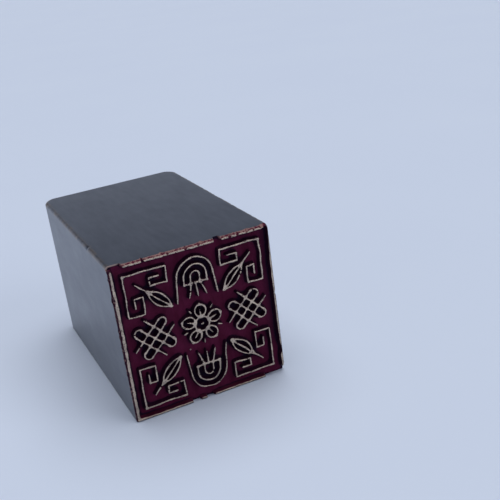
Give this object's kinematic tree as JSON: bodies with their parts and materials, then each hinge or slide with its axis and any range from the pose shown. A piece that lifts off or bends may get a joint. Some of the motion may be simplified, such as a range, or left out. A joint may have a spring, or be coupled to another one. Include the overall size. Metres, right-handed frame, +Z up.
{
  "type": "seal stamp",
  "caption": "Square metal seal stamp lying on its side, its end cut with raised ornament and a broken border on a sunk dark red ground.",
  "frame": {"origin": "middle of the side that the seal lies on", "axes": "+Z up from that side; -Y is the way the stamp face looks; +Y runs along the bar to the rear end; +X runs across, to the right of someone who looks at the stamp face"},
  "size_m": [0.025, 0.041, 0.025],
  "materials": {
    "patinated_bar": "dark grey satin patina, worn brown along the arrises",
    "raised_metal": "sanded bare tops on dark stained walls",
    "ground_colour": "matt dark red colour brushed over a milled ground, nearly black where it has pooled in the closed cells"
  },
  "bodies": {
    "root": {"seal_bar": "patinated_bar", "left_border_rail": "raised_metal", "right_border_rail": "raised_metal", "top_border_rail": "raised_metal", "bottom_border_rail": "raised_metal", "centre_blossom": "raised_metal", "top_arches": "raised_metal", "bottom_arches": "raised_metal", "left_knot": "raised_metal", "right_knot": "raised_metal", "top_left_fret": "raised_metal", "top_right_fret": "raised_metal", "bottom_right_fret": "raised_metal", "bottom_left_fret": "raised_metal", "ground_colour": "ground_colour", "closed_cell_colour": "ground_colour"}
  },
  "joints": []
}
